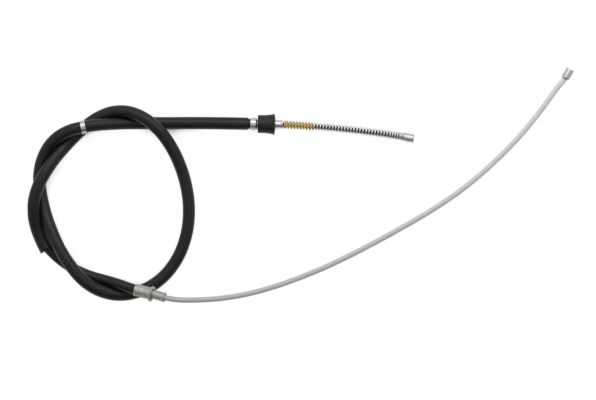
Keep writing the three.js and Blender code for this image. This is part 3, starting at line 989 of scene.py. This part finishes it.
front_profile = nipple_profile(0, FRONT_NIPPLE_LENGTH, 0.0006)
front_nipple = swept("front_barrel", front_profile, sides=64, step=0.002, shape=pressed)
hand_in(front_nipple, "front_nipple", nipple_finish)
rear_profile = nipple_profile(rear_nipple_from, REAR_NIPPLE_LENGTH, 0.0014)
rear_nipple = swept("rear_barrel", rear_profile, sides=64, step=0.002, shape=pressed)
hand_in(rear_nipple, "rear_nipple", nipple_finish)

# %% [markdown]
# ## Front ferrule and boot
#
# The ferrule's cup is swollen where it was crimped on the casing and draws in to a long nose with
# a rolled rim. The boot is a rubber bell pushed over it: a straight neck, then a flare to a thin
# lip that turns up a little, and a slightly bulging face towards the spring.

# %% Front ferrule and boot
NOSE = 0.0078
NOSE_RIM = 0.0083
RIM_LENGTH = 0.0015
NOSE_BORE = 0.005
CRIMP_FLATS, CRIMP_DEPTH, CRIMP_AT, CRIMP_REACH = 8, 0.018, 0.0028, 0.0016


def placed(mouth, towards, profile):
    """A fitting's own profile, measured from its mouth, laid on the cable: towards is 1 or -1."""
    return [(mouth + towards * along, radius, corner) for along, radius, corner in profile]


cup_bore = SHEATH / 2 + FIT
cup_floor = CUP_DEPTH + END_GAP
rim = FRONT_FERRULE_LENGTH - RIM_LENGTH
ferrule_profile = [
    (0, cup_bore, 0.0001), (0, 0.0057, 0.0003), (0.0013, 0.006, 0.001), (0.003, 0.0062, 0.0015),
    (0.0048, 0.006, 0.001), (0.0056, 0.0056, 0.0002), (0.0059, 0.0046, 0.0002),
    (0.0062, NOSE / 2, 0.0002), (rim, NOSE / 2, 0.0003),
    (rim + RIM_LENGTH * 0.2, NOSE_RIM / 2, 0.0003), (FRONT_FERRULE_LENGTH, NOSE_RIM / 2, 0.0006),
    (FRONT_FERRULE_LENGTH, 0.0028, 0.0003), (rim, NOSE_BORE / 2, 0.0003),
    (cup_floor, NOSE_BORE / 2, 0.0001), (cup_floor, cup_bore, 0.0001),
]


def crimped(distance, angle, radius):
    """Shallow flats that the crimping jaws left round the cup."""
    pressed_in = hump(cup_mouth - distance, CRIMP_AT, CRIMP_REACH)
    flats = 0.5 + 0.5 * np.cos(CRIMP_FLATS * angle)
    return 1 - CRIMP_DEPTH * pressed_in * flats * (radius > cup_bore * 1.02)


ferrule_profile = placed(cup_mouth, -1, ferrule_profile)
front_ferrule = swept("front_sleeve", ferrule_profile, sides=96, step=0.0015, shape=crimped)
hand_in(front_ferrule, "front_ferrule", ferrule_finish)

BOOT_AT = 0.007
BOOT_LENGTH = 0.0166
boot_bore = NOSE / 2 + FIT
boot_profile = [
    (0.0024, boot_bore, 0.0002), (0.0024, 0.0057, 0.0006), (0.0001, 0.0067, 0.0003),
    (0, 0.0081, 0.0004), (0.0004, 0.0085, 0.0005), (0.0072, 0.0085, 0.003),
    (0.0122, 0.0091, 0.004), (0.0145, 0.0096, 0.0008), (0.0152, 0.0100, 0.0003),
    (0.0156, 0.0100, 0.0002), (0.0158, 0.0093, 0.001), (0.0164, 0.0072, 0.002),
    (BOOT_LENGTH, boot_bore + 0.0002, 0.0005), (BOOT_LENGTH - 0.0004, boot_bore, 0.0001),
]
boot_profile = placed(cup_mouth - BOOT_AT, -1, boot_profile)
boot = swept("boot_bell", boot_profile, sides=96, step=0.0012)
hand_in(boot, "front_boot", boot_finish)

# %% [markdown]
# ## Locating band
#
# A narrow bright band is pinched round the hose where a clip on the car holds it. Its edges are
# rolled, so it has a shallow groove round its middle.

# %% Locating band
LAP_AT, LAP_SHARE, LAP_RISE = 0.86, 0.09, 0.022
PINCH, PINCH_AT, PINCH_REACH = 0.01, 0.12, 0.02
band_bore = HOSE / 2 + FIT * 0.6
band_top = HOSE / 2 + FIT + 0.0005
band_profile = [
    (0, band_bore, 0.0001), (0, band_top - 0.0001, 0.0003), (0.0009, band_top, 0.0004),
    (0.0014, band_top - 0.0002, 0.0003), (RING_LENGTH - 0.0014, band_top - 0.0002, 0.0003),
    (RING_LENGTH - 0.0009, band_top, 0.0004), (RING_LENGTH, band_top - 0.0001, 0.0003),
    (RING_LENGTH, band_bore, 0.0001),
]


def pinched(distance, angle, radius):
    """One low lap where the band's end lies on its start."""
    turn = (angle / (2 * math.pi) - LAP_AT) % 1
    lap = LAP_RISE * (turn < LAP_SHARE) * (radius > band_bore * 1.01)
    return 1 + lap - PINCH * hump(turn, PINCH_AT, PINCH_REACH)


band_profile = placed(ring_from, 1, band_profile)
band = swept("band_pinched", band_profile, sides=128, step=0.001, shape=pinched)
hand_in(band, "locating_ring", ring_finish)

# %% [markdown]
# ## Rear ferrule and guide tube
#
# The rear ferrule is a sleeve crimped on the sheath by a six-sided die, with a collar for the
# bracket. In its socket stands a short tube with a rolled mouth, and it leans a little, so a dark
# gap shows beside it.

# %% Rear ferrule and guide tube
sleeve_top = 0.0058
rope_way = 0.003
COLLAR = 0.0148
SOCKET = 0.010
SOCKET_DEPTH = 0.003
DIE_FROM, DIE_TO, DIE_EDGE = 0.0022, 0.0102, 0.0006
DIE_TURN, DIE_DEPTH, DIE_ROUND = 0.35, 0.42, 0.97
collar_from = SLEEVE_LENGTH
collar_to = SLEEVE_LENGTH + FLANGE_LENGTH
sleeve_profile = [
    (0, cup_bore, 0.0001), (0, sleeve_top, 0.0005), (collar_from - 0.0003, sleeve_top, 0.0005),
    (collar_from, COLLAR / 2 - 0.0002, 0.0002), (collar_from + 0.0003, COLLAR / 2, 0.0003),
    (collar_to, COLLAR / 2, 0.0006), (collar_to, SOCKET / 2, 0.0005),
    (collar_to - SOCKET_DEPTH, SOCKET / 2, 0.0002), (collar_to - SOCKET_DEPTH, rope_way, 0.0002),
    (SLEEVE_DEPTH + END_GAP, rope_way, 0.0001), (SLEEVE_DEPTH + END_GAP, cup_bore, 0.0001),
]


def six_sided(distance, angle, radius):
    """The die's six flats, deepest in the middle of the sleeve."""
    along = distance - sleeve_mouth
    pressed_in = np.minimum(rise(along, DIE_FROM, DIE_EDGE), rise(-along, -DIE_TO, DIE_EDGE))
    flat = math.cos(math.pi / 6) / np.cos((angle + DIE_TURN) % (math.pi / 3) - math.pi / 6)
    outside = (radius > sleeve_top * 0.97) & (radius < sleeve_top * 1.03)
    return 1 + pressed_in * outside * DIE_DEPTH * (np.minimum(flat, 1) - DIE_ROUND)


sleeve_profile = placed(sleeve_mouth, 1, sleeve_profile)
rear_ferrule = swept("rear_sleeve", sleeve_profile, sides=96, step=0.0008, shape=six_sided)
hand_in(rear_ferrule, "rear_ferrule", dull_finish)

GUIDE = 0.0086
GUIDE_RIM = 0.0094
GUIDE_BORE = 0.007
MOUTH_BORE = 0.0058
guide_foot = SOCKET_DEPTH - 2 * END_GAP
tip = GUIDE_REACH + guide_foot
guide_profile = [
    (0, GUIDE_BORE / 2, 0.0001), (0, GUIDE / 2, 0.0003), (tip - 0.0018, GUIDE / 2, 0.0004),
    (tip - 0.0013, GUIDE_RIM / 2, 0.0005), (tip, GUIDE_RIM / 2, 0.0007),
    (tip, MOUTH_BORE / 2, 0.0006), (tip - 0.0016, MOUTH_BORE / 2, 0.0004),
    (tip - 0.0024, GUIDE_BORE / 2, 0.0003),
]
guide_profile = placed(flange_face - guide_foot, 1, guide_profile)
guide_tube = swept("rear_tube", guide_profile, sides=72, step=0.002)
hand_in(guide_tube, "rear_guide_tube", dull_finish)

# %% [markdown]
# ## What the cable is, as a cable
#
# For each stretch that bends, a path of points along the axis is worked out from its start and
# end, and nothing more is done with it.

# %% Cord paths
def cord_path(start, end):
    return axis(np.linspace(start, end, max(24, round((end - start) / 0.008)))).tolist()


def declare(piece, start, end, diameter, far_end, from_end=False, **facts):
    path = cord_path(start, end)


declare(sheath, casing_from, casing_to, SHEATH, "fitting", with_pieces=[rear_ferrule])
declare(hose, hose_from, hose_to, HOSE, "bare", with_pieces=[band])
declare(grey_coat, grey_from, grey_to, GREY, "fitting", with_pieces=[rear_nipple, guide_tube])
declare(
    dark_coat, dark_from, dark_to, DARK, "fitting", from_end=True,
    with_pieces=[front_nipple, spring],
)

# %% [markdown]
# ## Floor and light
#
# The cable lies on pure white. The floor is a pale diffuse plane, and for rays from the camera or
# from shiny metal most of it glows at exactly white, so the page is clean and the metal has white
# to mirror, while a soft trace of the contact shadow stays. Ambient Occlusion takes the glow away
# in the slits between two turns that lie side by side, where hardly any light gets in. One large
# soft lamp stands beyond the top edge, and a dark card hangs low on the near side: it draws the
# dark streak along the lower side of every round metal piece.

# %% Floor and light
FLOOR_GLOW = 0.985
SLIT, SHUT, OPEN = 0.03, 0.3, 0.5


def white_floor():
    material = bpy.data.materials.new("white_floor")
    material.use_nodes = True
    tree = material.node_tree
    tree.nodes.clear()
    ray = add_node(tree, "ShaderNodeLightPath").outputs
    seen = sum_of(tree, ray["Is Camera Ray"], ray["Is Glossy Ray"])
    seen = sum_of(tree, seen, ray["Is Transmission Ray"])
    sky = add_node(tree, "ShaderNodeAmbientOcclusion", {"Distance": SLIT}, samples=8)
    openness = spread(tree, sky.outputs["AO"], 0, FLOOR_GLOW, SHUT, OPEN)
    share = sum_of(tree, sum_of(tree, seen, openness, "MULTIPLY"), 1.0, "MINIMUM")
    paper = add_node(tree, "ShaderNodeBsdfDiffuse", {"Color": (0.92, 0.92, 0.92, 1)})
    glow = add_node(tree, "ShaderNodeEmission", {"Color": (1, 1, 1, 1), "Strength": 1.0})
    links = {0: share, 1: paper.outputs[0], 2: glow.outputs[0]}
    both = add_node(tree, "ShaderNodeMixShader", links)
    add_node(tree, "ShaderNodeOutputMaterial", {"Surface": both.outputs[0]})
    return material


def flat_card(name, corners, material):
    mesh = bpy.data.meshes.new(name)
    mesh.from_pydata(corners, [], [(0, 1, 2, 3)])
    mesh.materials.append(material)
    card = bpy.data.objects.new(name, mesh)
    bpy.context.scene.collection.objects.link(card)
    card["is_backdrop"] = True
    return card


FLOOR_REACH = 8.0
FLOOR_DROP = -0.0002
corners = [(-1, -1), (1, -1), (1, 1), (-1, 1)]
floor_corners = [(x * FLOOR_REACH, y * FLOOR_REACH, FLOOR_DROP) for x, y in corners]
flat_card("floor", floor_corners, white_floor())

dark_card_finish, _, _ = new_finish("dark_card", (0.02, 0.02, 0.02), 0.9)
card_corners = [(-1.6, -1.1, 0.28), (1.6, -1.1, 0.28), (1.6, -0.75, 1.15), (-1.6, -0.75, 1.15)]
card = flat_card("dark_card", card_corners, dark_card_finish)
card.visible_camera = False


lamp_data = bpy.data.lights.new("window_lamp", "AREA")
lamp_data.shape = "RECTANGLE"
lamp_data.size, lamp_data.size_y = 2.2, 0.9
lamp_data.energy = 16
lamp = bpy.data.objects.new("window_lamp", lamp_data)
lamp.location = (0.1, 1.0, 1.3)
lamp.rotation_mode = "QUATERNION"
lamp.rotation_quaternion = (-lamp.location).to_track_quat("-Z", "Y")
bpy.context.scene.collection.objects.link(lamp)

ROOM_LIGHT = 0.62
world = bpy.data.worlds.new("pale_room")
bpy.context.scene.world = world
world.use_nodes = True
room = world.node_tree.nodes["Background"].inputs
room["Color"].default_value = (1, 1, 1, 1)
room["Strength"].default_value = ROOM_LIGHT

bpy.context.scene.view_settings.view_transform = "Standard"

# %% [markdown]
# ## Sizes, and the end
#
# Both boxes, the solid model's and the visual model's, are printed in millimetres. The
# visual model has to stay in the solid model's box.

# %% Sizes and finish
low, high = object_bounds()
boxes = {"cad": [list(cad_low), list(cad_high)], "visual": [list(low), list(high)]}
for name, box in boxes.items():
    print(name, "box, mm:", [[round(1000 * v, 1) for v in corner] for corner in box])
